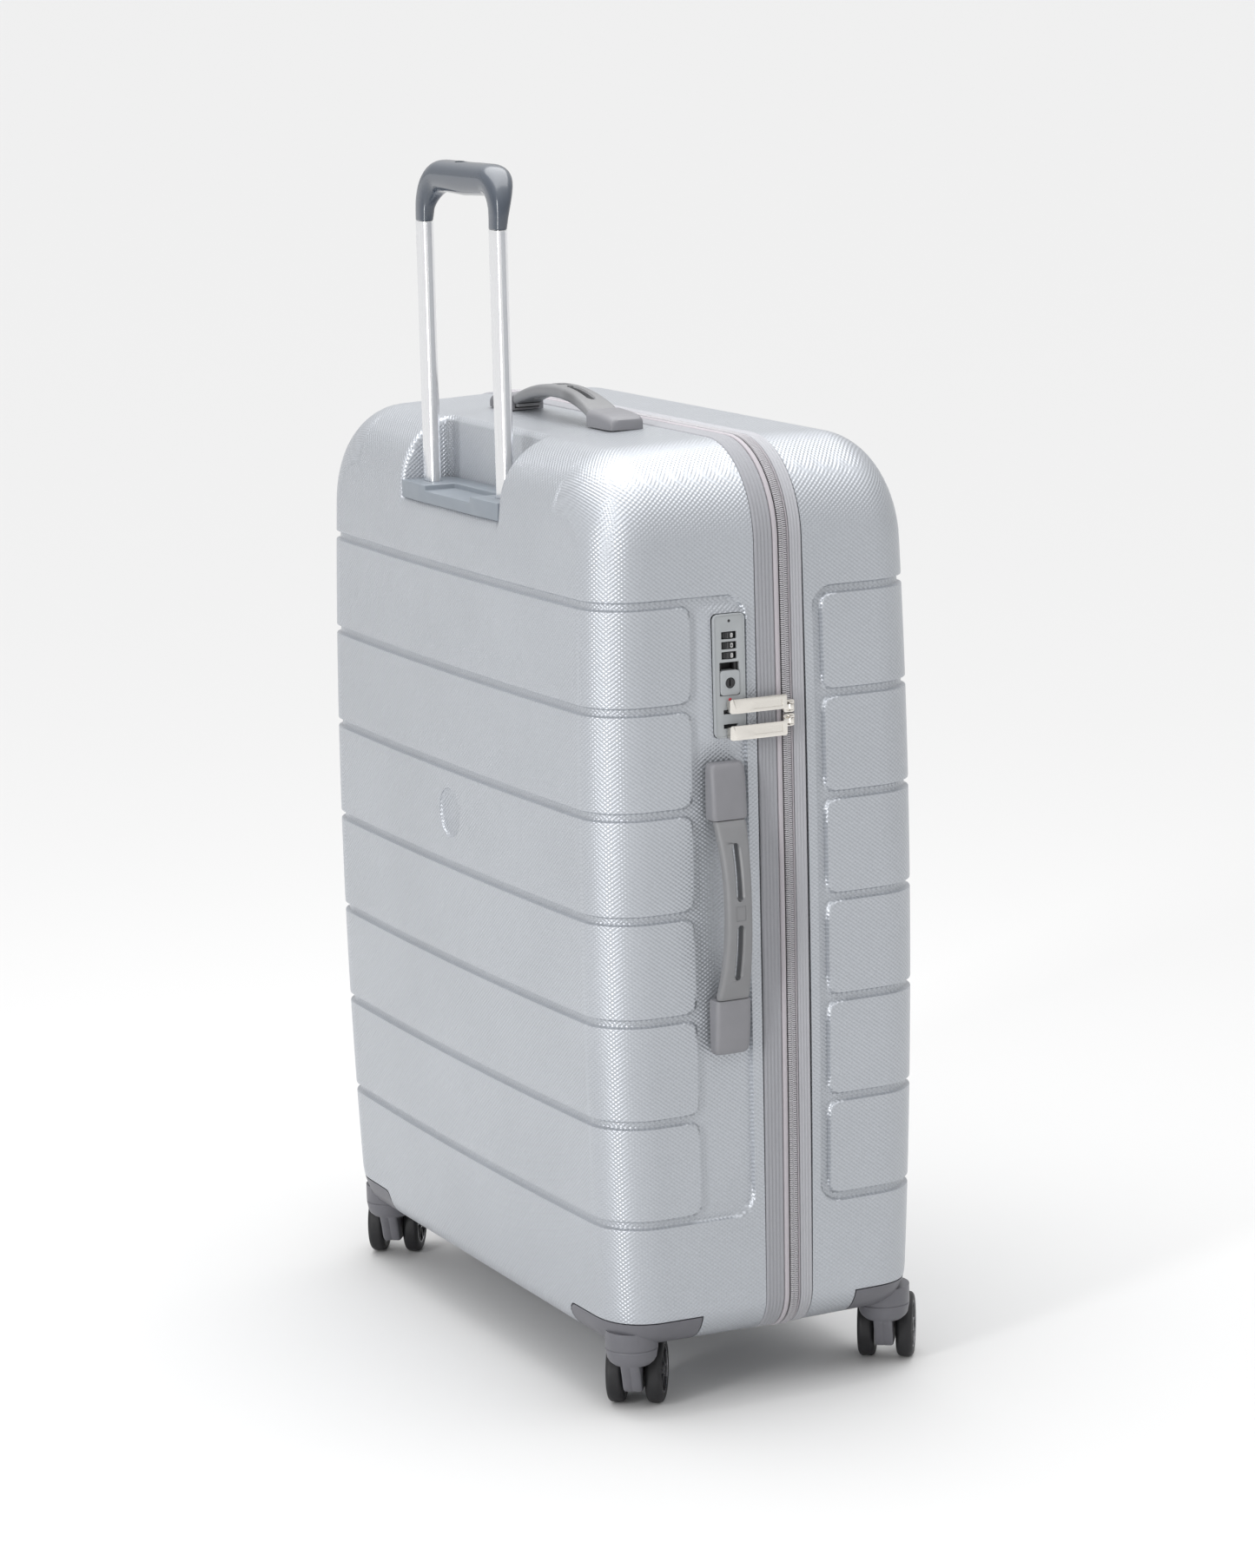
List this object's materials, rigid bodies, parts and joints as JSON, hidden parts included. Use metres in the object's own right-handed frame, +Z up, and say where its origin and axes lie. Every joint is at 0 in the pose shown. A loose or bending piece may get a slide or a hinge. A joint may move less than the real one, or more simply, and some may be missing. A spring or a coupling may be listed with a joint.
{
  "type": "hard shell suitcase",
  "caption": "Upright hard shell travel case with ribbed silver shells, zip closure, combination lock, telescopic pull handle, carry handles and twin-wheel swivel casters.",
  "frame": {"origin": "on the floor under the middle of the whole object's bounding box", "axes": "+Z up, -Y towards the back shell with the trolley handle, +Y towards the lid shell, +X towards the side with the lock and side handle, -X the hinge side"},
  "size_m": [0.5831, 0.3053, 0.9496],
  "materials": {
    "shell": "satin metallic silver polycarbonate with a fine diamond emboss",
    "grey_plastic": "fine matt moulded mid grey",
    "lock_plastic": "satin light grey",
    "gloss_grey": "glossy blue-grey moulding",
    "zip_fabric": "ribbed grey woven tape",
    "lining": "woven polyester lining",
    "webbing": "ribbed elastic webbing",
    "aluminium": "bright anodised, brushed along its length",
    "zinc": "nickel plated die casting",
    "steel": "plain turned steel",
    "dark_plastic": "matt black moulding",
    "wheel_rubber": "matt black rubber on a black moulded hub"
  },
  "bodies": {
    "case": {"back_shell": "shell", "back_lining": "lining", "back_zip_tape": "zip_fabric", "packing_strap_left": "webbing", "packing_strap_right": "webbing", "strap_buckle": "dark_plastic", "trolley_tray": "grey_plastic", "guide_tube_left": "aluminium", "guide_tube_right": "aluminium", "guide_foot": "dark_plastic", "top_handle_end_left": "grey_plastic", "top_handle_end_right": "grey_plastic", "side_handle_end_lower": "grey_plastic", "side_handle_end_upper": "grey_plastic", "lock_plate": "lock_plastic", "lock_body": "dark_plastic", "caster_housing_back_left": "grey_plastic", "caster_housing_back_right": "grey_plastic"},
    "lid": {"front_shell": "shell", "front_lining": "lining", "front_zip_tape": "zip_fabric", "lid_pocket": "lining", "caster_housing_front_left": "grey_plastic", "caster_housing_front_right": "grey_plastic"},
    "trolley": {"trolley_tube_left": "aluminium", "trolley_tube_right": "aluminium", "tube_plug_left": "dark_plastic", "tube_plug_right": "dark_plastic", "trolley_grip": "gloss_grey"},
    "release": {"grip_button": "gloss_grey", "release_rod_left": "steel", "release_rod_right": "steel"},
    "top_grip": {"top_handle_grip": "grey_plastic"},
    "side_grip": {"side_handle_grip": "grey_plastic"},
    "lock_button": {"lock_slider": "lock_plastic"},
    "lock_key": {"key_cylinder": "zinc"},
    "dial_upper": {"dial_1": "dark_plastic"},
    "dial_middle": {"dial_2": "dark_plastic"},
    "dial_lower": {"dial_3": "dark_plastic"},
    "zip_upper": {"zip_slider_upper": "zinc"},
    "zip_lower": {"zip_slider_lower": "zinc"},
    "pull_upper": {"zip_pull_upper": "zinc"},
    "pull_lower": {"zip_pull_lower": "zinc"},
    "swivel_back_left": {"caster_fork_back_left": "grey_plastic", "caster_axle_back_left": "steel"},
    "wheel_back_left_a": {"wheel_back_left_a": "wheel_rubber"},
    "wheel_back_left_b": {"wheel_back_left_b": "wheel_rubber"},
    "swivel_back_right": {"caster_fork_back_right": "grey_plastic", "caster_axle_back_right": "steel"},
    "wheel_back_right_a": {"wheel_back_right_a": "wheel_rubber"},
    "wheel_back_right_b": {"wheel_back_right_b": "wheel_rubber"},
    "swivel_front_left": {"caster_fork_front_left": "grey_plastic", "caster_axle_front_left": "steel"},
    "wheel_front_left_a": {"wheel_front_left_a": "wheel_rubber"},
    "wheel_front_left_b": {"wheel_front_left_b": "wheel_rubber"},
    "swivel_front_right": {"caster_fork_front_right": "grey_plastic", "caster_axle_front_right": "steel"},
    "wheel_front_right_a": {"wheel_front_right_a": "wheel_rubber"},
    "wheel_front_right_b": {"wheel_front_right_b": "wheel_rubber"}
  },
  "joints": [
    {"name": "lid_hinge", "type": "hinge", "parent": "case", "child": "lid", "pos_m": [-0.2759, 0.0075, 0.3995], "axis": [0, 0, 1], "range_deg": [0, 150]},
    {"name": "trolley_slide", "type": "slide", "parent": "case", "child": "trolley", "axis": [0, 0, 1], "range_m": [-0.2025, 0.1]},
    {"name": "grip_button_press", "type": "slide", "parent": "trolley", "child": "release", "axis": [0, 0, -1], "range_m": [0, 0.003], "stiffness_N_per_m": 400, "springref_m": -0.006},
    {"name": "top_handle_lift", "type": "slide", "parent": "case", "child": "top_grip", "axis": [0, 0, 1], "range_m": [0, 0.006], "stiffness_N_per_m": 800, "springref_m": -0.003},
    {"name": "side_handle_lift", "type": "slide", "parent": "case", "child": "side_grip", "axis": [1, 0, 0], "range_m": [0, 0.006], "stiffness_N_per_m": 800, "springref_m": -0.003},
    {"name": "lock_slider_press", "type": "slide", "parent": "case", "child": "lock_button", "axis": [0, 0, 1], "range_m": [0, 0.005], "stiffness_N_per_m": 200, "springref_m": -0.003},
    {"name": "key_turn", "type": "hinge", "parent": "lock_button", "child": "lock_key", "pos_m": [0.2665, -0.0405, 0.5696], "axis": [1, 0, 0], "range_deg": [0, 90]},
    {"name": "dial_upper_turn", "type": "hinge", "parent": "case", "child": "dial_upper", "pos_m": [0.2611, -0.0405, 0.6055], "axis": [0, 0, 1], "continuous": true},
    {"name": "dial_middle_turn", "type": "hinge", "parent": "case", "child": "dial_middle", "pos_m": [0.2611, -0.0405, 0.5979], "axis": [0, 0, 1], "continuous": true},
    {"name": "dial_lower_turn", "type": "hinge", "parent": "case", "child": "dial_lower", "pos_m": [0.2611, -0.0405, 0.5903], "axis": [0, 0, 1], "continuous": true},
    {"name": "zip_slide_upper", "type": "slide", "parent": "case", "child": "zip_upper", "axis": [0, 0, 1], "range_m": [0, 0.1]},
    {"name": "pull_swing_upper", "type": "hinge", "parent": "zip_upper", "child": "pull_upper", "pos_m": [0.273, 0.0075, 0.5478], "axis": [0, 0, 1], "range_deg": [0, 150]},
    {"name": "zip_slide_lower", "type": "slide", "parent": "case", "child": "zip_lower", "axis": [0, 0, 1], "range_m": [-0.015, 0]},
    {"name": "pull_swing_lower", "type": "hinge", "parent": "zip_lower", "child": "pull_lower", "pos_m": [0.273, 0.0075, 0.5372], "axis": [0, 0, 1], "range_deg": [0, 150]},
    {"name": "swivel_back_left", "type": "hinge", "parent": "case", "child": "swivel_back_left", "pos_m": [-0.236, -0.117, 0.0535], "axis": [0, 0, 1], "continuous": true},
    {"name": "roll_back_left_a", "type": "hinge", "parent": "swivel_back_left", "child": "wheel_back_left_a", "pos_m": [-0.25921, -0.10134, 0.02568], "axis": [0.5592, 0.829, 0], "continuous": true},
    {"name": "roll_back_left_b", "type": "hinge", "parent": "swivel_back_left", "child": "wheel_back_left_b", "pos_m": [-0.25921, -0.10134, 0.02568], "axis": [0.5592, 0.829, 0], "continuous": true},
    {"name": "swivel_back_right", "type": "hinge", "parent": "case", "child": "swivel_back_right", "pos_m": [0.2286, -0.117, 0.0535], "axis": [0, 0, 1], "continuous": true},
    {"name": "roll_back_right_a", "type": "hinge", "parent": "swivel_back_right", "child": "wheel_back_right_a", "pos_m": [0.20539, -0.10134, 0.02568], "axis": [0.5592, 0.829, 0], "continuous": true},
    {"name": "roll_back_right_b", "type": "hinge", "parent": "swivel_back_right", "child": "wheel_back_right_b", "pos_m": [0.20539, -0.10134, 0.02568], "axis": [0.5592, 0.829, 0], "continuous": true},
    {"name": "swivel_front_left", "type": "hinge", "parent": "lid", "child": "swivel_front_left", "pos_m": [-0.236, 0.106, 0.0535], "axis": [0, 0, 1], "continuous": true},
    {"name": "roll_front_left_a", "type": "hinge", "parent": "swivel_front_left", "child": "wheel_front_left_a", "pos_m": [-0.25921, 0.12166, 0.02568], "axis": [0.5592, 0.829, 0], "continuous": true},
    {"name": "roll_front_left_b", "type": "hinge", "parent": "swivel_front_left", "child": "wheel_front_left_b", "pos_m": [-0.25921, 0.12166, 0.02568], "axis": [0.5592, 0.829, 0], "continuous": true},
    {"name": "swivel_front_right", "type": "hinge", "parent": "lid", "child": "swivel_front_right", "pos_m": [0.2286, 0.106, 0.0535], "axis": [0, 0, 1], "continuous": true},
    {"name": "roll_front_right_a", "type": "hinge", "parent": "swivel_front_right", "child": "wheel_front_right_a", "pos_m": [0.20539, 0.12166, 0.02568], "axis": [0.5592, 0.829, 0], "continuous": true},
    {"name": "roll_front_right_b", "type": "hinge", "parent": "swivel_front_right", "child": "wheel_front_right_b", "pos_m": [0.20539, 0.12166, 0.02568], "axis": [0.5592, 0.829, 0], "continuous": true}
  ]
}
